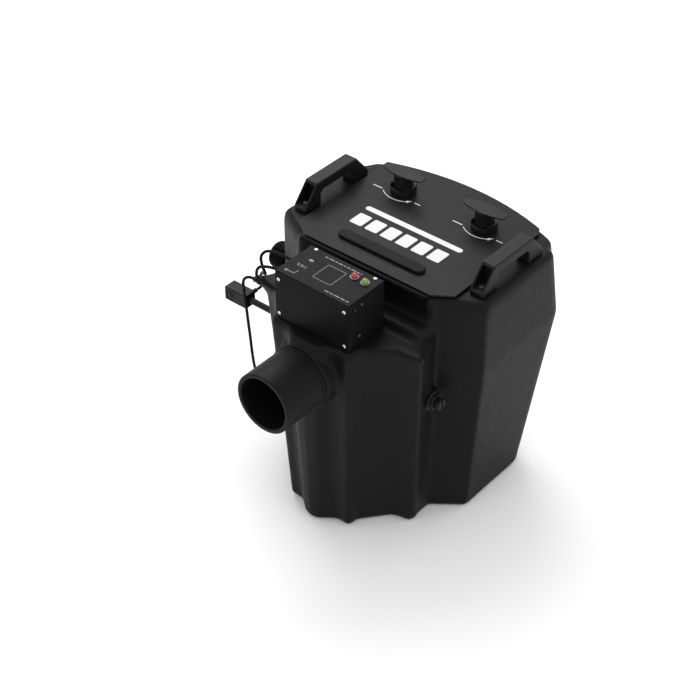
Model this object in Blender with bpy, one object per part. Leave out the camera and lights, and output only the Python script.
"""Low-lying fog machine: a rotomoulded water tank with a hinged lid, a dry-ice basket that two
T-handles lift, two immersion heaters, a control box and a duct outlet.

Metres, +Z up. The origin is on the floor under the tank, the outlet points along -Y and the
lid's hinge runs along X over the control box.
"""

import math

import bmesh
import bpy
from mathutils import Matrix, Vector

# ---------------------------------------------------------------- driving dimensions
GAP = 0.0003                    # clearance between neighbouring solids

DECK_Z = 0.484                  # top of the tank's rim deck
LEDGE_Z = 0.438                 # ledge in front of the deck
SHELF_Z = 0.420                 # shelf that the control box stands on
CREASE_Z = 0.340                # height where the side walls stop tapering
WAIST_Z = 0.385                 # height above which the second rib flares out to the shelf
SHOULDER = 0.0065               # how far the front corner panels lean in at the deck
WALL = 0.006                    # tank wall
LIP = 0.008                     # height of the rounded lips under the shelf and the deck
FRONT_Y = -0.053                # front wall under the hinge
LEDGE_Y = -0.090                # front of the ledge

LID_Z = 0.487                   # underside of the lid plate
LID_THICK = 0.003
LID_FRONT_Y = -0.045
LID_HALF_FRONT = 0.1394
LID_HALF_WIDTH = 0.1753
LID_CHAMFER_Y = -0.020
LID_SIDE_Y = 0.235              # where the rear arc starts
LID_REAR_Y = 0.263              # middle of the rear arc
LID_TOP = LID_Z + LID_THICK

HINGE_Y = -0.0560               # hinge axis, along X
HINGE_Z = 0.4886
HINGE_HALF = 0.139
KNUCKLES = 5
KNUCKLE_R = 0.0042
PIN_R = 0.0018

OUTLET_Z = 0.3468
OUTLET_R = 0.0580
OUTLET_WALL = 0.0085
OUTLET_MOUTH_Y = -0.3147
OUTLET_SEAT_Y = -0.2210         # flat boss face that the spigot's gasket sits on
OUTLET_BOSS_R = OUTLET_R + 0.0045
OUTLET_COLLAR_R = OUTLET_R + 0.0025

BOX_HALF = 0.0807
BOX_FRONT_Y = -0.1877
BOX_REAR_Y = -0.0938
BOX_LOW_Z = 0.4215
BOX_TOP_Z = 0.5183
SHEET = 0.0015                  # control box sheet

HANDLE_X = (0.1835, 0.2115)
HANDLE_Y = (0.008, 0.184)
HANDLE_TOP_Y = (0.041, 0.151)
HANDLE_TOP_Z = 0.5335
FINGER_Y = (0.051, 0.141)
FINGER_Z = 0.514
POCKET_Z = 0.494

KNOB_X = 0.0915
KNOB_Y = 0.173
COLLAR_R = 0.0245
COLLAR_TOP = 0.508
COLLAR_RIM = 0.502              # front and back of the collar, between its two lugs
LUG_X = 0.017
STEM_R = 0.018
TEE_Z = 0.529
TEE_THICK = 0.003
TEE_HALF = 0.0445
ROD_R = 0.005
ROD_FOOT_Z = 0.3350
FORK_Z = 0.3420                 # underside of the hanger's forks

BASKET_HALF = 0.130
BASKET_Y = (0.055, 0.200)
BASKET_Z = (0.150, 0.240)
SHEET_STEEL = 0.002

DRAIN = Vector((0.1655, -0.0617, 0.284))        # face of the drain boss
DRAIN_LENGTH = 0.0115                           # its flange and nut, up to the plug's seal
PROBE = Vector((-0.1660, -0.0650, 0.2985))      # face of the thermostat boss
FILL = Vector((-0.2310, 0.0280, 0.3480))        # face of the fill boss
FILL_CAP_R = 0.0265
FILL_CAP_LENGTH = 0.0440
HEATERS = (Vector((-0.2100, 0.0850, 0.0600)), Vector((-0.2100, 0.1450, 0.0600)))
SCREW_Y = (0.026, 0.166)        # handle screws

SIDES = (("left", -1), ("right", 1))


# ---------------------------------------------------------------- materials
def material(name, colour, roughness, metallic=0.0):
    made = bpy.data.materials.get(name)
    if made is None:
        made = bpy.data.materials.new(name)
        made.use_nodes = True
        shader = made.node_tree.nodes["Principled BSDF"]
        shader.inputs["Base Color"].default_value = (*colour, 1.0)
        shader.inputs["Roughness"].default_value = roughness
        shader.inputs["Metallic"].default_value = metallic
    return made


BLACK_PE = ("tank_plastic", (0.020, 0.020, 0.021), 0.62)
LID_PAINT = ("lid_paint", (0.045, 0.045, 0.047), 0.45)
BOX_PAINT = ("box_paint", (0.022, 0.022, 0.023), 0.55)
MOULDED = ("moulded_plastic", (0.024, 0.024, 0.025), 0.50)
RUBBER = ("rubber", (0.018, 0.018, 0.019), 0.75)
STEEL = ("stainless_steel", (0.62, 0.62, 0.61), 0.30, 1.0)
ZINC = ("zinc_screw", (0.70, 0.70, 0.70), 0.35, 1.0)
CHROME = ("chrome", (0.80, 0.80, 0.80), 0.12, 1.0)
RED_LENS = ("red_lens", (0.60, 0.02, 0.02), 0.15)
GREEN_LENS = ("green_lens", (0.10, 0.50, 0.04), 0.15)
BOARD = ("circuit_board", (0.02, 0.12, 0.05), 0.50)
NYLON = ("nylon", (0.55, 0.54, 0.50), 0.50)


# ---------------------------------------------------------------- modelling helpers
def add(name, mesh_builder, finish, smooth=None, origin=(0.0, 0.0, 0.0)):
    """Make an object from a bmesh whose coordinates are world ones; its origin goes to origin."""
    bmesh.ops.recalc_face_normals(mesh_builder, faces=mesh_builder.faces)
    bmesh.ops.translate(mesh_builder, verts=mesh_builder.verts, vec=-Vector(origin))
    mesh = bpy.data.meshes.new(name)
    mesh_builder.to_mesh(mesh)
    mesh_builder.free()
    made = bpy.data.objects.new(name, mesh)
    bpy.context.scene.collection.objects.link(made)
    made.location = origin
    if finish:
        mesh.materials.append(material(*finish))
    if smooth:
        mesh.shade_smooth()
        mesh.set_sharp_from_angle(angle=math.radians(smooth))
    return made


def hide_cutter(cutter):
    cutter.hide_render = True
    cutter.display_type = "WIRE"
    return cutter


def boolean(target, other, operation="DIFFERENCE"):
    step = target.modifiers.new(other.name, "BOOLEAN")
    step.operation = operation
    step.solver = "EXACT"
    step.object = hide_cutter(other)
    return target


def soften(target, width, segments=1, angle=35):
    step = target.modifiers.new("soft_edges", "BEVEL")
    step.width = width
    step.segments = segments
    step.limit_method = "ANGLE"
    step.angle_limit = math.radians(angle)
    return target


def block(low, high):
    """Bmesh of a box between two corners."""
    made = bmesh.new()
    bmesh.ops.create_cube(made, size=1.0)
    low, high = Vector(low), Vector(high)
    size = high - low
    bmesh.ops.transform(made, verts=made.verts,
                        matrix=Matrix.Translation((low + high) / 2) @ Matrix.Diagonal((*size, 1.0)))
    return made


def prism(outline, axis, start, end):
    """Bmesh of a plane outline pushed along an axis: the outline's pairs fill the other two axes."""
    made = bmesh.new()
    place = {"X": lambda p: (start, p[0], p[1]),
             "Y": lambda p: (p[0], start, p[1]),
             "Z": lambda p: (p[0], p[1], start)}[axis]
    face = made.faces.new([made.verts.new(place(point)) for point in outline])
    grown = bmesh.ops.extrude_face_region(made, geom=[face])
    moved = [item for item in grown["geom"] if isinstance(item, bmesh.types.BMVert)]
    push = {"X": (end - start, 0, 0), "Y": (0, end - start, 0), "Z": (0, 0, end - start)}[axis]
    bmesh.ops.translate(made, verts=moved, vec=push)
    return made


def turned(profile, at, axis=(0, 0, 1), steps=32, closed=False):
    """Bmesh of a profile of (radius, height) pairs spun round an axis through at."""
    made = bmesh.new()
    verts = [made.verts.new((radius, 0.0, height)) for radius, height in profile]
    edges = [made.edges.new(pair) for pair in zip(verts, verts[1:])]
    if closed:
        edges.append(made.edges.new((verts[-1], verts[0])))
    bmesh.ops.spin(made, geom=verts + edges, cent=(0, 0, 0), axis=(0, 0, 1),
                   angle=2 * math.pi, steps=steps, use_merge=True)
    bmesh.ops.remove_doubles(made, verts=made.verts, dist=1e-6)
    turn = Vector((0, 0, 1)).rotation_difference(Vector(axis)).to_matrix().to_4x4()
    bmesh.ops.transform(made, verts=made.verts, matrix=Matrix.Translation(at) @ turn)
    return made


def rod(radius, length, at, axis=(0, 0, 1), steps=16):
    return turned([(0, 0), (radius, 0), (radius, length), (0, length)], at, axis, steps)


def tube(inner, outer, length, at, axis=(0, 0, 1), steps=32):
    return turned([(inner, 0), (outer, 0), (outer, length), (inner, length)], at, axis, steps, True)


def join(first, *others):
    """Put the meshes of several bmeshes in one; the pieces must be united by a Boolean later."""
    for other in others:
        mesh = bpy.data.meshes.new("joined")
        other.to_mesh(mesh)
        other.free()
        first.from_mesh(mesh)
        bpy.data.meshes.remove(mesh)
    return first


def arc(centre, radius, start, end, count):
    """Points of an arc, in degrees."""
    for index in range(count + 1):
        angle = math.radians(start + (end - start) * index / count)
        yield (centre[0] + radius * math.cos(angle), centre[1] + radius * math.sin(angle))


def screw(name, at, axis, head_r=0.0035, head_h=0.002, shank_r=0.0015, shank=0.006, finish=ZINC):
    """Pan-head screw: at is the underside of its head, axis points out of the head."""
    profile = [(0, -shank), (shank_r, -shank), (shank_r, 0), (head_r, 0), (head_r, head_h * 0.45),
               (head_r * 0.75, head_h * 0.85), (0, head_h)]
    return add(name, turned(profile, at, axis, 12), finish, smooth=40)


# ---------------------------------------------------------------- tank
# Right half of the tank wall seen from above, from the nose round to the middle of the back.
# Each corner is (x, y) on the floor and (x, y) where its taper ends: the shelf or the crease.
FRONT_CORNERS = (
    ((0.000, -0.200), (0.000, -0.2195)),    # nose under the outlet
    ((0.016, -0.195), (0.026, -0.2165)),
    ((0.040, -0.175), (0.046, -0.200)),     # foot of the nose
    ((0.052, -0.173), (0.060, -0.196)),
    ((0.064, -0.176), (0.082, -0.198)),     # first rib
    ((0.073, -0.168), (0.092, -0.191)),
    ((0.072, -0.152), (0.094, -0.172)),     # groove
    ((0.113, -0.101), (0.140, -0.130)),     # slanting panel
    ((0.128, -0.096), (0.156, -0.122)),
    ((0.144, -0.094), (0.172, -0.118)),     # second rib
    ((0.152, -0.083), (0.178, -0.107)),
    ((0.148, -0.066), (0.170, -0.090)),
    ((0.147, -0.036), (0.157, -0.044)),     # panel with the drain fitting
)
# Second rib's corners at the shelf, beyond what their taper gives.
RIB_FLARE = {8: (0.006, -0.007), 9: (0.010, -0.009), 10: (0.012, -0.009), 11: (0.006, -0.008)}
# The sides and the back also have a corner at the deck: the back leans in again above the crease.
SIDE_CORNERS = (
    ((0.201, 0.007), (0.229, -0.002), (0.229, -0.002)),     # front corner
    ((0.200, 0.158), (0.226, 0.216), (0.226, 0.190)),
    ((0.197, 0.170), (0.222, 0.230), (0.222, 0.203)),       # rear corner
    ((0.187, 0.174), (0.210, 0.234), (0.210, 0.207)),       # flute
    ((0.184, 0.182), (0.206, 0.242), (0.206, 0.216)),
    ((0.176, 0.194), (0.197, 0.254), (0.197, 0.230)),
    ((0.150, 0.204), (0.172, 0.263), (0.172, 0.240)),
    ((0.100, 0.215), (0.115, 0.274), (0.115, 0.254)),
    ((0.050, 0.221), (0.058, 0.280), (0.058, 0.262)),
    ((0.000, 0.223), (0.000, 0.282), (0.000, 0.265)),       # middle of the back
)
OPENING = ((0.134, -0.020), (0.163, 0.000), (0.163, 0.060), (0.163, 0.120), (0.163, 0.170),
           (0.163, 0.196), (0.162, 0.214), (0.140, 0.226), (0.095, 0.236), (0.048, 0.242), (0.000, 0.244))


def mix(low, high, share):
    return tuple(a + (b - a) * share for a, b in zip(low, high))


def mirrored(half):
    """Whole ring from its right half, which starts and ends on the middle plane."""
    return list(half) + [(-x, y) for x, y in reversed(half[1:-1])]


def side_corners(height):
    if height <= CREASE_Z:
        return [mix(low, crease, height / CREASE_Z) for low, crease, high in SIDE_CORNERS]
    share = (height - CREASE_Z) / (DECK_Z - CREASE_Z)
    return [mix(crease, high, share) for low, crease, high in SIDE_CORNERS]


def wall_ring(height):
    front = [mix(low, high, min(height / SHELF_Z, 1.0)) for low, high in FRONT_CORNERS]
    flare = max(0.0, min((height - WAIST_Z) / (SHELF_Z - LIP - WAIST_Z), 1.0))
    for index, (out_x, out_y) in RIB_FLARE.items():
        x, y = front[index]
        front[index] = (x + out_x * flare, y + out_y * flare)
    return mirrored(front + side_corners(height))


def stepped_ring(front_y, height, lean=0.0):
    """Wall above the shelf: straight across the front at front_y, then round the sides.

    The panel at each front corner moves in by lean.
    """
    last = len(FRONT_CORNERS) - 2
    front = [(0.150 * index / last, front_y) for index in range(last + 1)]
    start, (end, *sides) = FRONT_CORNERS[-1][1], side_corners(height)
    along = (Vector(end) - Vector(start)).normalized()
    inwards = Vector((-along.y, along.x)) * lean
    panel = [tuple(Vector(corner) + inwards) for corner in (start, end)]
    return mirrored(front + panel + sides)


def opening_ring():
    last = len(FRONT_CORNERS) - 1
    front = [(OPENING[0][0] * index / last, OPENING[0][1]) for index in range(last + 1)]
    return mirrored(front + list(OPENING[1:]))


def inset(ring, distance):
    """Ring moved inwards by distance at every corner."""
    moved = []
    for before, here, after in zip(ring[-1:] + ring[:-1], ring, ring[1:] + ring[:1]):
        first = (Vector(here) - Vector(before)).normalized()
        second = (Vector(after) - Vector(here)).normalized()
        normal = Vector((-first.y - second.y, first.x + second.x)).normalized()
        reach = max(normal.dot(Vector((-first.y, first.x))), 0.5)
        moved.append(tuple(Vector(here) + normal * distance / reach))
    return moved


def loft(rings):
    """Closed bmesh through rings of (height, points), capped at both ends."""
    made = bmesh.new()
    rows = [[made.verts.new((x, y, height)) for x, y in ring] for height, ring in rings]
    made.faces.new(rows[0])
    made.faces.new(rows[-1])
    for low, high in zip(rows, rows[1:]):
        for index in range(len(low)):
            after = (index + 1) % len(low)
            made.faces.new((low[index], low[after], high[after], high[index]))
    bmesh.ops.remove_doubles(made, verts=made.verts, dist=1e-6)
    bmesh.ops.triangulate(made, faces=made.faces)
    return made


def build_tank():
    deck = stepped_ring(FRONT_Y, DECK_Z, SHOULDER)
    neck = stepped_ring(FRONT_Y, LEDGE_Z)
    ledge = stepped_ring(LEDGE_Y, LEDGE_Z)
    step = stepped_ring(LEDGE_Y, SHELF_Z)
    outside = [
        (0.0, inset(wall_ring(0.0), 0.007)),
        (0.007, wall_ring(0.007)),
        (CREASE_Z, wall_ring(CREASE_Z)),
        (WAIST_Z, wall_ring(WAIST_Z)),
        (SHELF_Z - LIP, wall_ring(SHELF_Z - LIP)),
        (SHELF_Z, shelf_lip(0.005)),
        (SHELF_Z, step),
        (LEDGE_Z, ledge),
        (LEDGE_Z, neck),
        (DECK_Z - 0.020, stepped_ring(FRONT_Y, DECK_Z - 0.020)),
        (DECK_Z - 0.006, stepped_ring(FRONT_Y, DECK_Z - 0.006, 0.6 * SHOULDER)),
        (DECK_Z, inset(deck, 0.006)),
        (DECK_Z, opening_ring()),
    ]
    inside = [
        (DECK_Z - WALL, opening_ring()),
        (DECK_Z - WALL, inset(deck, WALL)),
        (LEDGE_Z - WALL, inset(neck, WALL)),
        (LEDGE_Z - WALL, inset(ledge, WALL)),
        (SHELF_Z - WALL, inset(step, WALL)),
        (SHELF_Z - WALL, inset(wall_ring(SHELF_Z - WALL), WALL)),
        (WAIST_Z, inset(wall_ring(WAIST_Z), WALL)),
        (CREASE_Z, inset(wall_ring(CREASE_Z), WALL)),
        (WALL, inset(wall_ring(WALL), WALL)),
    ]
    tank = add("tank", loft(outside + inside), BLACK_PE)
    through = rod(OUTLET_R + 0.003, 0.060, (0, OUTLET_SEAT_Y - 0.01, OUTLET_Z), (0, 1, 0), 32)
    boolean(tank, add("hole_outlet", through, None))
    for name, boss in tank_bosses():
        boolean(tank, add(name, boss, None), "UNION")
    for name, hole in tank_holes():
        boolean(tank, add(name, hole, None))
    return tank


def shelf_lip(width):
    """Top of the shelf's rounded lip: only the front corners move in."""
    wall = wall_ring(SHELF_Z)
    front = len(FRONT_CORNERS) - 1
    size = len(wall)
    moved = inset(wall, width)
    return [moved[i] if min(i, size - i) < front else wall[i] for i in range(size)]


def tank_bosses():
    yield "boss_outlet", tube(OUTLET_R + GAP, OUTLET_BOSS_R, 0.0385, (0, OUTLET_SEAT_Y, OUTLET_Z),
                              (0, 1, 0), 40)
    yield "boss_drain", rod(0.0215, 0.015, DRAIN, (-1, 0, 0), 24)
    yield "boss_probe", rod(0.0215, 0.014, PROBE, (1, 0, 0), 24)
    yield "boss_fill", rod(0.0285, 0.012, FILL, (1, 0, 0), 28)
    for index, place in enumerate(HEATERS):
        yield f"boss_heater_{index + 1}", rod(0.0260, 0.014, place, (1, 0, 0), 24)


def tank_holes():
    through = 0.060
    outward = Vector((through / 2, 0, 0))
    yield "hole_drain", rod(0.0115, through, DRAIN + outward, (-1, 0, 0), 20)
    yield "hole_probe", rod(0.0063, through, PROBE - outward, (1, 0, 0), 14)
    yield "hole_fill", rod(0.0180, through, FILL - outward, (1, 0, 0), 24)
    for index, place in enumerate(HEATERS):
        yield f"hole_heater_{index + 1}", rod(0.0178, through, place - outward, (1, 0, 0), 20)
    for side, sign in SIDES:
        for index, y in enumerate(SCREW_Y):
            at = (sign * sum(HANDLE_X) / 2, y, DECK_Z - 0.010)
            yield f"hole_{side}_screw_{index + 1}", rod(0.0033, 0.020, at, steps=10)


# ---------------------------------------------------------------- outlet
def build_outlet():
    inner = OUTLET_R - OUTLET_WALL
    flange_y = OUTLET_SEAT_Y - GAP - 0.0015 - GAP
    reach = flange_y - OUTLET_MOUTH_Y
    collar = OUTLET_COLLAR_R
    profile = [(inner + 0.002, 0), (OUTLET_R - 0.002, 0), (OUTLET_R, 0.002), (OUTLET_R, reach - 0.0030),
               (collar, reach - 0.0030), (collar, reach), (OUTLET_R, reach),
               (OUTLET_R, reach + 0.030), (inner, reach + 0.030), (inner, 0.002)]
    add("outlet_spigot", turned(profile, (0, OUTLET_MOUTH_Y, OUTLET_Z), (0, 1, 0), 40, True),
        BLACK_PE, smooth=40)
    add("outlet_gasket", tube(OUTLET_R + 0.0005, collar - 0.0005, 0.0015, (0, flange_y + GAP, OUTLET_Z),
                              (0, 1, 0), 40), RUBBER, smooth=40)


# ---------------------------------------------------------------- carrying handles
def build_handles():
    outline = [(HANDLE_Y[0], DECK_Z + GAP), (HANDLE_Y[0], POCKET_Z), (HANDLE_TOP_Y[0], HANDLE_TOP_Z),
               (HANDLE_TOP_Y[1], HANDLE_TOP_Z), (HANDLE_Y[1], POCKET_Z), (HANDLE_Y[1], DECK_Z + GAP),
               (FINGER_Y[1], DECK_Z + GAP), (FINGER_Y[1], FINGER_Z - 0.006),
               (FINGER_Y[1] - 0.006, FINGER_Z), (FINGER_Y[0] + 0.006, FINGER_Z),
               (FINGER_Y[0], FINGER_Z - 0.006), (FINGER_Y[0], DECK_Z + GAP)]
    skin = 0.0035
    slope = (HANDLE_TOP_Y[0] - HANDLE_Y[0]) / (HANDLE_TOP_Z - POCKET_Z)
    pocket_top = HANDLE_TOP_Z - 0.005
    high_y = HANDLE_Y[0] + slope * (pocket_top - POCKET_Z)
    middle_y = sum(HANDLE_Y) / 2
    pocket = [(HANDLE_Y[0] - 0.002, POCKET_Z), (FINGER_Y[0] - skin, POCKET_Z),
              (FINGER_Y[0] - skin, pocket_top), (high_y - 0.004, pocket_top)]
    for side, sign in SIDES:
        low, high = sorted((sign * HANDLE_X[0], sign * HANDLE_X[1]))
        handle = add(f"{side}_handle", prism(outline, "X", low, high), MOULDED)
        soften(handle, 0.0012)
        for end, flip in (("front", False), ("rear", True)):
            shape = [(2 * middle_y - y, z) for y, z in pocket] if flip else pocket
            boolean(handle, add(f"pocket_{side}_{end}", prism(shape, "X", low + skin, high - skin), None))
        for index, y in enumerate(SCREW_Y):
            at = (sign * sum(HANDLE_X) / 2, y, POCKET_Z)
            hole = rod(0.0033, 0.030, Vector(at) - Vector((0, 0, 0.020)), steps=10)
            boolean(handle, add(f"hole_{side}_handle_{index + 1}", hole, None))
            end = ("front", "rear")[index]
            screw(f"{side}_handle_screw_{end}", Vector(at) + Vector((0, 0, GAP)), (0, 0, 1),
                  head_r=0.0065, head_h=0.0040, shank_r=0.0030, shank=0.0200)


# ---------------------------------------------------------------- lid
def lid_outline():
    """Straight front, chamfered corners, straight sides and a shallow arc at the back."""
    half = [(LID_HALF_FRONT, LID_FRONT_Y), (LID_HALF_WIDTH, LID_CHAMFER_Y),
            (LID_HALF_WIDTH, LID_SIDE_Y - 0.012)]
    rise = LID_REAR_Y - LID_SIDE_Y
    half_chord = LID_HALF_WIDTH - 0.008
    radius = (half_chord ** 2 + rise ** 2) / (2 * rise)
    reach = math.degrees(math.asin(half_chord / radius))
    back = list(arc((0, LID_REAR_Y - radius), radius, 90 - reach, 90 + reach, 16))
    return half + back + [(-x, y) for x, y in reversed(half)]


def build_lid():
    lid = add("lid_plate", prism(lid_outline(), "Z", LID_Z, LID_TOP), LID_PAINT)
    for side, sign in SIDES:
        hole = rod(0.0070, 0.02, (sign * KNOB_X, KNOB_Y, LID_Z - 0.008), steps=20)
        boolean(lid, add(f"hole_{side}_rod", hole, None))
    low, high = DECK_Z + GAP, LID_Z - GAP
    outer, inner = inset(opening_ring(), -0.0090), inset(opening_ring(), -0.0015)
    gasket = bmesh.new()
    rows = [[gasket.verts.new((x, y, z)) for x, y in ring]
            for ring, z in ((outer, low), (outer, high), (inner, high), (inner, low))]
    for row, after in zip(rows, rows[1:] + rows[:1]):
        for index in range(len(row)):
            step = (index + 1) % len(row)
            gasket.faces.new((row[index], row[step], after[step], after[index]))
    add("lid_gasket", gasket, RUBBER)
    ends = list(arc((0.083, -0.0020), 0.0122, -90, 90, 8)) + list(arc((-0.083, -0.0020), 0.0122, 90, 270,
                                                                      8))
    soften(add("lid_bumper_pad", prism(ends, "Z", LID_TOP + GAP, LID_TOP + 0.006), RUBBER), 0.0015)


def build_hinge():
    """Piano hinge: five knuckles in turn on the tank's leaf and the lid's leaf."""
    width = 2 * HINGE_HALF / KNUCKLES
    leaves = {
        "tank_hinge_leaf": (block((-HINGE_HALF, FRONT_Y - 0.0018, 0.4570),
                                  (HINGE_HALF, FRONT_Y - GAP, 0.4836)), 0),
        "lid_hinge_leaf": (block((-HINGE_HALF, HINGE_Y + 0.0048, LID_Z - 0.0015),
                                 (HINGE_HALF, HINGE_Y + 0.0165, LID_Z - GAP)), 1),
    }
    for name, (leaf, first) in leaves.items():
        made = add(name, leaf, BOX_PAINT, smooth=40)
        for index in range(first, KNUCKLES, 2):
            start = -HINGE_HALF + index * width
            low, high = start + GAP, start + width - GAP
            if first == 0:
                tab = block((low, FRONT_Y - 0.0016, 0.4700), (high, FRONT_Y - 0.0005, HINGE_Z - 0.0026))
            else:
                tab = block((low, HINGE_Y + 0.0030, LID_Z - 0.0014),
                            (high, HINGE_Y + 0.0100, LID_Z - 0.0004))
            boolean(made, add(f"tab_{name}_{index}", tab, None), "UNION")
            knuckle = tube(PIN_R + GAP, KNUCKLE_R, high - low, (low, HINGE_Y, HINGE_Z), (1, 0, 0), 16)
            boolean(made, add(f"knuckle_{name}_{index}", knuckle, None), "UNION")
    add("hinge_pin", rod(PIN_R, 2 * HINGE_HALF, (-HINGE_HALF, HINGE_Y, HINGE_Z), (1, 0, 0), 12), BOX_PAINT,
        smooth=40, origin=(0, HINGE_Y, HINGE_Z))


# ---------------------------------------------------------------- basket lift
def build_lifts():
    base = LID_TOP + GAP
    for side, sign in SIDES:
        x = sign * KNOB_X
        profile = [(0.0054, base), (COLLAR_R - 0.001, base), (COLLAR_R, base + 0.001),
                   (COLLAR_R, COLLAR_TOP),
                   (STEM_R + 0.0006, COLLAR_TOP), (STEM_R + 0.0006, base + 0.0022), (0.0054, base + 0.0022)]
        collar = add(f"{side}_collar", turned(profile, (x, KNOB_Y, 0), steps=24, closed=True), MOULDED,
                     smooth=40)
        lowered = block((x - LUG_X, KNOB_Y - 0.03, COLLAR_RIM),
                        (x + LUG_X, KNOB_Y + 0.03, COLLAR_TOP + 0.01))
        boolean(collar, add(f"lowered_rim_{side}", lowered, None))

        profile = [(0, 0.5208), (0.0053, 0.5208), (0.0053, 0.5140), (0.0100, 0.5140), (0.0100, 0.4930),
                   (STEM_R, 0.4930), (STEM_R, TEE_Z + 0.0015), (0, TEE_Z + 0.0015)]
        stem = turned(profile, (x, KNOB_Y, 0), steps=20)
        handle = add(f"{side}_t_handle", stem, MOULDED, smooth=40, origin=(x, KNOB_Y, TEE_Z))
        boolean(handle, add(f"tee_{side}", prism(tee_outline(x), "Z", TEE_Z, TEE_Z + TEE_THICK), None),
                "UNION")

        shaft = add(f"{side}_lift_rod",
                    rod(ROD_R, 0.5200 - ROD_FOOT_Z - 0.001, (x, KNOB_Y, ROD_FOOT_Z + 0.001)),
                    STEEL, smooth=40, origin=(x, KNOB_Y, ROD_FOOT_Z))
        foot = block((x - 0.004, KNOB_Y - 0.012, ROD_FOOT_Z),
                     (x + 0.004, KNOB_Y + 0.012, ROD_FOOT_Z + 0.006))
        boolean(shaft, add(f"foot_{side}", foot, None), "UNION")
        add(f"{side}_stem_bush", tube(ROD_R + GAP, 0.0097, 0.0202, (x, KNOB_Y, 0.4935), steps=20), NYLON,
            smooth=40, origin=(x, KNOB_Y, 0.4935))


def tee_outline(x):
    """Lens-shaped grip plate with cut-off ends."""
    end, middle = 0.0075, 0.0160
    rise = middle - end
    radius = (TEE_HALF ** 2 + rise ** 2) / (2 * rise)
    reach = math.degrees(math.asin(TEE_HALF / radius))
    rear = list(arc((x, KNOB_Y + middle - radius), radius, 90 - reach, 90 + reach, 10))
    return rear + [(px, 2 * KNOB_Y - py) for px, py in reversed(rear)]


def build_basket():
    low, high = BASKET_Z
    front, back = BASKET_Y
    basket = add("basket", block((-BASKET_HALF, front, low), (BASKET_HALF, back, high)), STEEL)
    inside = block((-BASKET_HALF + SHEET_STEEL, front + SHEET_STEEL, low + SHEET_STEEL),
                   (BASKET_HALF - SHEET_STEEL, back - SHEET_STEEL, high + 0.01))
    boolean(basket, add("basket_inside", inside, None))
    for index in range(4):
        x = (BASKET_HALF - 0.004) * (1 if index % 2 else -1)
        y = front + 0.004 if index < 2 else back - 0.004
        leg = block((x - 0.004, y - 0.004, WALL + GAP), (x + 0.004, y + 0.004, low + 0.001))
        boolean(basket, add(f"basket_leg_{index + 1}", leg, None), "UNION")
    holes = [rod(0.006, 0.01, (0.038 * column, (front + back) / 2 + 0.040 * row, low - 0.004), steps=8)
             for column in range(-3, 4) for row in (-1, 0, 1) if abs(column) < 3 or row == 0]
    boolean(basket, add("basket_floor_holes", join(*holes), None))
    slots = [block((0.038 * column - 0.006, front - 0.01, low + 0.025),
                   (0.038 * column + 0.006, back + 0.01, high - 0.025))
             for column in range(-2, 3)]
    boolean(basket, add("basket_wall_slots", join(*slots), None))


def build_hanger():
    """Cross bar on the basket's rim with two uprights, whose forks take the lift rods."""
    rim = BASKET_Z[1] + GAP
    bar_y = KNOB_Y - 0.033
    hanger = add("basket_hanger",
                 block((-BASKET_HALF, bar_y, rim), (BASKET_HALF, bar_y + 0.012, rim + 0.003)), STEEL)
    sheet = 0.002
    front = bar_y + 0.012 - sheet
    outline = [(front, rim), (front + sheet, rim), (front + sheet, FORK_Z), (KNOB_Y + 0.022, FORK_Z),
               (KNOB_Y + 0.022, FORK_Z + sheet), (front, FORK_Z + sheet)]
    for side, sign in SIDES:
        x = sign * KNOB_X
        arm = prism(outline, "X", x - 0.014, x + 0.014)
        boolean(hanger, add(f"arm_{side}", arm, None), "UNION")
        slot = block((x - 0.007, KNOB_Y - 0.015, FORK_Z - 0.01), (x + 0.007, KNOB_Y + 0.03, FORK_Z + 0.01))
        boolean(hanger, add(f"slot_{side}", slot, None))


# ---------------------------------------------------------------- control box
LEAD_EXITS = ((-0.118, 0.488), (-0.146, 0.483), (-0.170, 0.461))    # (y, z) on the left face
LED_SPOTS = (("red", 0.0360, -0.1178, RED_LENS), ("green", 0.0600, -0.1190, GREEN_LENS))


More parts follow.
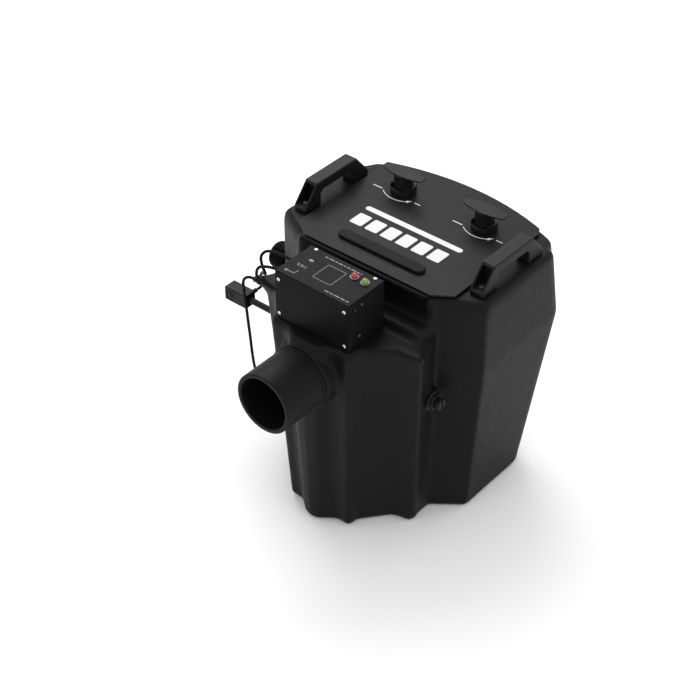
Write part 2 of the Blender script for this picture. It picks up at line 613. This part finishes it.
def build_control_box():
    front = BOX_FRONT_Y + SHEET + GAP
    roof = BOX_TOP_Z - SHEET - GAP
    chassis = add("box_chassis", block((-BOX_HALF, front, BOX_LOW_Z), (BOX_HALF, BOX_REAR_Y, roof)),
                  BOX_PAINT)
    inside = block((-BOX_HALF + SHEET, front - 0.01, BOX_LOW_Z + SHEET),
                   (BOX_HALF - SHEET, BOX_REAR_Y - SHEET, roof + 0.01))
    boolean(chassis, add("box_inside", inside, None))
    # Folded tabs take the cover's screws, and pillars carry the board.
    for side, sign in SIDES:
        for index, z in enumerate((0.4315, 0.5025)):
            low, high = sorted((sign * (BOX_HALF - 0.0005), sign * (BOX_HALF - 0.018)))
            tab = block((low, front, z - 0.006), (high, front + 0.002, z + 0.006))
            boolean(chassis, add(f"box_tab_{side}_{index}", tab, None), "UNION")
        low, high = sorted((sign * (BOX_HALF - 0.0005), sign * (BOX_HALF - 0.020)))
        tab = block((low, BOX_REAR_Y - 0.012, roof - 0.002), (high, BOX_REAR_Y - 0.0005, roof))
        boolean(chassis, add(f"box_roof_tab_{side}", tab, None), "UNION")
    for index in range(4):
        at = (0.045 * (1 if index % 2 else -1), -0.120 if index < 2 else -0.164, BOX_LOW_Z + 0.001)
        boolean(chassis, add(f"pillar_{index + 1}", rod(0.003, 0.0075, at, steps=8), None), "UNION")
    for index, (y, z) in enumerate(LEAD_EXITS):
        boolean(chassis,
                add(f"hole_lead_{index + 1}", rod(0.0054, 0.01, (-BOX_HALF - 0.005, y, z), (1, 0, 0), 12),
                    None))
    for index, (y, z) in enumerate(((-0.1521, 0.5027), (-0.1691, 0.4997), (-0.1575, 0.4396))):
        boolean(chassis,
                add(f"vent_{index + 1}", rod(0.0018, 0.01, (BOX_HALF - 0.005, y, z), (1, 0, 0), 8), None))
    socket = block((-BOX_HALF - 0.005, -0.1403, 0.4285), (-BOX_HALF + 0.005, -0.1117, 0.4495))
    boolean(chassis, add("hole_power_inlet", socket, None))

    outline = [(BOX_FRONT_Y, BOX_LOW_Z), (BOX_FRONT_Y + SHEET, BOX_LOW_Z),
               (BOX_FRONT_Y + SHEET, BOX_TOP_Z - SHEET),
               (BOX_REAR_Y, BOX_TOP_Z - SHEET), (BOX_REAR_Y, BOX_TOP_Z), (BOX_FRONT_Y, BOX_TOP_Z)]
    cover = add("box_cover", prism(outline, "X", -BOX_HALF, BOX_HALF), BOX_PAINT)
    for colour, x, y, lens in LED_SPOTS:
        boolean(cover,
                add(f"hole_{colour}_led", rod(0.0060, 0.02, (x, y, BOX_TOP_Z - 0.01), steps=16), None))
    places = [(f"box_screw_{side}_{level}", (sign * 0.0725, BOX_FRONT_Y - GAP, z), (0, -1, 0))
              for side, sign in SIDES for level, z in (("low", 0.4315), ("high", 0.5025))]
    places += [(f"box_screw_{side}_roof", (sign * 0.0655, -0.0985, BOX_TOP_Z + GAP), (0, 0, 1)) for side,
               sign in SIDES]
    for name, at, axis in places:
        inward = -Vector(axis)
        for piece in (chassis, cover):
            hole = rod(0.0019, 0.014, Vector(at) - inward * 0.002, inward, 8)
            boolean(piece, add(f"hole_{name}_{piece.name}", hole, None))
        screw(name, at, axis)

    for colour, x, y, lens in LED_SPOTS:
        top = BOX_TOP_Z + GAP
        dome = [(0, top - 0.012), (0.0042, top - 0.012), (0.0042, top + 0.0050), (0.0034, top + 0.0078),
                (0, top + 0.0088)]
        add(f"{colour}_led", turned(dome, (x, y, 0), steps=16), lens, smooth=50)
        ring = [(0.0046, top - 0.010), (0.0056, top - 0.010), (0.0056, top), (0.0090, top),
                (0.0090, top + 0.0014),
                (0.0064, top + 0.0042), (0.0046, top + 0.0042)]
        add(f"{colour}_led_bezel", turned(ring, (x, y, 0), steps=16, closed=True), CHROME, smooth=40)

    for index, (y, z) in enumerate(LEAD_EXITS):
        profile = [(0.0031, -0.0045), (0.0050, -0.0045), (0.0050, GAP), (0.0066, GAP), (0.0066, 0.0040),
                   (0.0050, 0.0080), (0.0031, 0.0080)]
        add(f"lead_grommet_{index + 1}", turned(profile, (-BOX_HALF, y, z), (-1, 0, 0), 12, True), RUBBER,
            smooth=40)
    add("power_inlet", inlet(), MOULDED)
    add("control_board", block((-0.050, -0.168, 0.4303), (0.050, -0.115, 0.4319)), BOARD)
    add("relay", block((-0.040, -0.160, 0.4322), (-0.012, -0.142, 0.4490)), NYLON)
    soften(add("terminal_block", block((0.005, -0.132, 0.4322), (0.045, -0.121, 0.4450)), NYLON), 0.001)


def inlet():
    """Recessed mains inlet with three pins, its flange outside the box."""
    outside = -BOX_HALF - GAP
    body = bmesh.new()
    low, high = (-0.1390, 0.4300), (-0.1130, 0.4480)
    rows = []
    for x, grow in ((outside + 0.011, 0.0), (outside, 0.0), (outside, 0.003), (outside - 0.0025, 0.003),
                    (outside - 0.0025, -0.003), (outside + 0.009, -0.003)):
        rows.append([body.verts.new((x, y, z)) for y,
                     z in ((low[0] - grow, low[1] - grow), (high[0] + grow, low[1] - grow),
                                                         (high[0] + grow, high[1] + grow),
                                                         (low[0] - grow, high[1] + grow))])
    body.faces.new(rows[0])
    body.faces.new(rows[-1])
    for row, after in zip(rows, rows[1:]):
        for index in range(4):
            step = (index + 1) % 4
            body.faces.new((row[index], row[step], after[step], after[index]))
    return body


# ---------------------------------------------------------------- fittings on the tank walls
def build_thermostat():
    """Float-level thermostat: head on a neck through the wall, with a probe inside the tank."""
    x, y, z = PROBE
    outer = [(0.0035, -0.0080), (0.0060, -0.0080), (0.0060, 0.0003), (0.0150, 0.0003), (0.0150, 0.0060),
             (0.0062, 0.0060), (0.0062, 0.0925), (0.0035, 0.0925)]
    add("thermostat_neck", turned(outer, PROBE, (-1, 0, 0), 20, True), MOULDED, smooth=40)
    add("thermostat_probe", rod(0.0031, 0.150, (x - 0.080, y, z), (1, 0, 0), 12), STEEL, smooth=40)
    low = Vector((x - 0.1465, y - 0.0135, z - 0.0145))
    high = Vector((x - 0.0928, y + 0.0135, z + 0.0145))
    head = add("thermostat_head", block(low, high), MOULDED)
    soften(head, 0.0012)
    dial_at = Vector((low.x + 0.015, low.y, z))
    recess = rod(0.0105, 0.006, dial_at - Vector((0, 0.003, 0)), (0, 1, 0), 24)
    boolean(head, add("dial_recess", recess, None))
    gland = rod(0.0045, 0.0175, (low.x + 0.040, high.y - 0.001, z), (0, 1, 0), 12)
    boolean(head, add("head_gland", gland, None), "UNION")
    dial = [(0, 0.0027), (0.0098, 0.0027), (0.0098, 0.0006), (0.0050, 0.0006), (0.0045, -0.0012),
            (0, -0.0012)]
    add("thermostat_dial", turned([(r, -h) for r, h in dial], dial_at, (0, -1, 0), 24), MOULDED, smooth=40,
        origin=dial_at)


def build_heaters():
    for index, place in enumerate(HEATERS):
        x, y, z = place
        flange = x - GAP
        element = add(f"heater_element_{index + 1}", rod(0.0175, 0.030, (x, y, z), (1, 0, 0), 24), STEEL,
                      smooth=40)
        reach, spread = 0.290, 0.0105
        path = [(x + 0.026, y - spread, z), (x + reach, y - spread, z)]
        path += [(x + reach + dx, y + dy, z) for dx, dy in arc((0, 0), spread, -67.5, 67.5, 6)]
        path += [(x + reach, y + spread, z), (x + 0.026, y + spread, z)]
        boolean(element, add(f"heater_loop_{index + 1}", swept(path, 0.0040, 8), None), "UNION")
        profile = [(0, 0), (0.0240, 0), (0.0240, 0.018), (0.0200, 0.028), (0, 0.028)]
        cap = add(f"heater_cap_{index + 1}", turned(profile, (flange, y, z), (-1, 0, 0), 24), MOULDED,
                  smooth=40)
        nub = rod(0.0050, 0.014, (x - 0.012, y, z + 0.020), (0, 0, 1), 12)
        boolean(cap, add(f"heater_gland_{index + 1}", nub, None), "UNION")


def swept(path, radius, sides):
    """Tube of the given radius along a path, with flat ends."""
    made = bmesh.new()
    points = [Vector(point) for point in path]
    rows = []
    for index, point in enumerate(points):
        ahead = (points[min(index + 1, len(points) - 1)] - points[max(index - 1, 0)]).normalized()
        across = Vector((0, 0, 1)).cross(ahead).normalized()
        above = ahead.cross(across)
        rows.append([made.verts.new(point + radius * (across * math.cos(a) + above * math.sin(a)))
                     for a in (2 * math.pi * k / sides for k in range(sides))])
    made.faces.new(rows[0])
    made.faces.new(rows[-1])
    for row, after in zip(rows, rows[1:]):
        for k in range(sides):
            step = (k + 1) % sides
            made.faces.new((row[k], row[step], after[step], after[k]))
    return made


def build_drain():
    """Flanged bulkhead with a hex nut, an O-ring and a screwed plug."""
    body = [(0.0070, -0.0120), (0.0112, -0.0120), (0.0112, GAP), (0.0200, GAP), (0.0200, 0.0040),
            (0.0145, 0.0045), (0.0145, DRAIN_LENGTH), (0.0070, DRAIN_LENGTH)]
    flange = add("drain_flange", turned(body, DRAIN, (1, 0, 0), 20, True), MOULDED, smooth=40)
    hexagon = [(DRAIN.y + 0.0170 * math.cos(math.radians(60 * k)),
                DRAIN.z + 0.0170 * math.sin(math.radians(60 * k)))
               for k in range(6)]
    boolean(flange, add("drain_nut", prism(hexagon, "X", DRAIN.x + 0.0042, DRAIN.x + 0.0098), None),
            "UNION")
    boolean(flange, add("drain_bore", rod(0.0070, 0.06, DRAIN - Vector((0.03, 0, 0)), (1, 0, 0), 20), None))
    face = DRAIN.x + DRAIN_LENGTH
    add("drain_seal", tube(0.0068, 0.0092, 0.0016, (face + GAP, DRAIN.y, DRAIN.z), (1, 0, 0), 20), RUBBER,
        smooth=40, origin=(face, DRAIN.y, DRAIN.z))
    head = 0.0013 + 0.0016
    plug = [(0, -0.0100), (0.0064, -0.0100), (0.0064, GAP + 0.0019), (0.0115, GAP + 0.0019),
            (0.0115, head + 0.0068),
            (0.0100, head + 0.0083), (0, head + 0.0083)]
    made = add("drain_plug", turned(plug, (face, DRAIN.y, DRAIN.z), (1, 0, 0), 20), MOULDED, smooth=40,
               origin=(face, DRAIN.y, DRAIN.z))
    slot = block((face + head + 0.0045, DRAIN.y - 0.0015, DRAIN.z - 0.02),
                 (face + 0.03, DRAIN.y + 0.0015, DRAIN.z + 0.02))
    boolean(made, add("plug_slot", slot, None))


def build_fill():
    x, y, z = FILL
    neck = [(0.0148, -0.0100), (0.0177, -0.0100), (0.0177, GAP), (0.0255, GAP), (0.0255, 0.0035),
            (0.0205, 0.0035),
            (0.0205, 0.0200), (0.0148, 0.0200)]
    add("fill_neck", turned(neck, FILL, (-1, 0, 0), 28, True), MOULDED, smooth=40)
    cap = [(0.0, FILL_CAP_LENGTH), (FILL_CAP_R - 0.0025, FILL_CAP_LENGTH),
           (FILL_CAP_R, FILL_CAP_LENGTH - 0.0025),
           (FILL_CAP_R, 0.0070), (0.0210, 0.0070), (0.0210, 0.0205), (0.0, 0.0205)]
    add("fill_cap", turned(cap, FILL, (-1, 0, 0), 28), MOULDED, smooth=40, origin=FILL)


# ---------------------------------------------------------------- leads
LEAD_R = 0.0027
LEAD_ROUTES = (
    # To the thermostat head, over the shelf's second rib and round the front corner of the wall.
    ((-0.0775, -0.118, 0.4880), (-0.084, -0.118, 0.4880), (-0.091, -0.1183, 0.4884),
     (-0.105, -0.122, 0.4930),
     (-0.130, -0.128, 0.4980), (-0.1485, -0.135, 0.4970), (-0.1555, -0.1415, 0.4860),
     (-0.1530, -0.1420, 0.4680),
     (-0.1520, -0.1360, 0.4490), (-0.1600, -0.1300, 0.4415), (-0.1750, -0.1180, 0.4290),
     (-0.1890, -0.1060, 0.4165),
     (-0.2050, -0.0920, 0.3960), (-0.2300, -0.0740, 0.3680), (-0.2580, -0.0540, 0.3370),
     (-0.2670, -0.0360, 0.3240),
     (-0.2715, -0.0200, 0.3120), (-0.2725, -0.0165, 0.3020), (-0.2725, -0.0230, 0.2985),
     (-0.2725, -0.0342, 0.2985)),
    # To the rear heater, beside the first and then under it.
    ((-0.0775, -0.146, 0.4830), (-0.084, -0.146, 0.4830), (-0.091, -0.1465, 0.4834),
     (-0.104, -0.153, 0.4880),
     (-0.120, -0.163, 0.4925), (-0.1330, -0.1710, 0.4900), (-0.1390, -0.1720, 0.4760),
     (-0.1430, -0.1640, 0.4560),
     (-0.1520, -0.1520, 0.4400), (-0.1650, -0.1400, 0.4300), (-0.1810, -0.1290, 0.4210),
     (-0.1970, -0.1150, 0.4070),
     (-0.2120, -0.0980, 0.3850), (-0.2240, -0.0800, 0.3630), (-0.2310, -0.0560, 0.3390),
     (-0.2360, -0.0280, 0.3130),
     (-0.2400, -0.0040, 0.2860), (-0.2440, 0.0360, 0.2240), (-0.238, 0.096, 0.1660),
     (-0.2255, 0.130, 0.1370), (-0.2220, 0.1445, 0.1130), (-0.2220, 0.1450, 0.0943)),
    # To the front heater, hanging clear of the tank.
    ((-0.0775, -0.170, 0.4610), (-0.084, -0.170, 0.4610), (-0.092, -0.1701, 0.4610),
     (-0.103, -0.176, 0.4650),
     (-0.120, -0.186, 0.4750), (-0.1400, -0.1900, 0.4765), (-0.1525, -0.1905, 0.4640),
     (-0.1555, -0.1880, 0.4400),
     (-0.1570, -0.1820, 0.3965), (-0.1615, -0.1720, 0.3360), (-0.1720, -0.1520, 0.2400),
     (-0.1850, -0.120, 0.1800),
     (-0.2010, -0.072, 0.1440), (-0.2150, -0.018, 0.1290), (-0.224, 0.040, 0.1340),
     (-0.2230, 0.0760, 0.1280),
     (-0.2220, 0.0848, 0.1090), (-0.2220, 0.0850, 0.0943)),
)


def smooth_route(points, spacing):
    """Points along a Catmull-Rom curve through the route, about one spacing apart."""
    route = [Vector(point) for point in points]
    padded = [route[0] * 2 - route[1]] + route + [route[-1] * 2 - route[-2]]
    curve = [route[0]]
    for before, start, end, after in zip(padded, padded[1:], padded[2:], padded[3:]):
        count = max(1, round((end - start).length / spacing))
        for step in range(1, count + 1):
            t = step / count
            curve.append(0.5 * (2 * start + (end - before) * t + (2 * before - 5 * start + 4 * end - after) * t ** 2
                                + (3 * start - before - 3 * end + after) * t ** 3))
    return curve


def build_leads():
    for index, route in enumerate(LEAD_ROUTES):
        points = smooth_route(route, 0.0145)
        data = bpy.data.curves.new(f"lead_{index + 1}", "CURVE")
        data.dimensions = "3D"
        data.bevel_depth = LEAD_R
        data.bevel_resolution = 2
        data.use_fill_caps = True
        spline = data.splines.new("POLY")
        spline.points.add(len(points) - 1)
        for node, point in zip(spline.points, points):
            node.co = (*point, 1.0)
        data.materials.append(material(*RUBBER))
        bpy.context.scene.collection.objects.link(bpy.data.objects.new(f"lead_{index + 1}", data))


def main():
    for old in list(bpy.data.objects):
        bpy.data.objects.remove(old, do_unlink=True)
    build_tank()
    build_outlet()
    build_handles()
    build_lid()
    build_hinge()
    build_lifts()
    build_basket()
    build_hanger()
    build_control_box()
    build_thermostat()
    build_heaters()
    build_drain()
    build_fill()
    build_leads()


main()
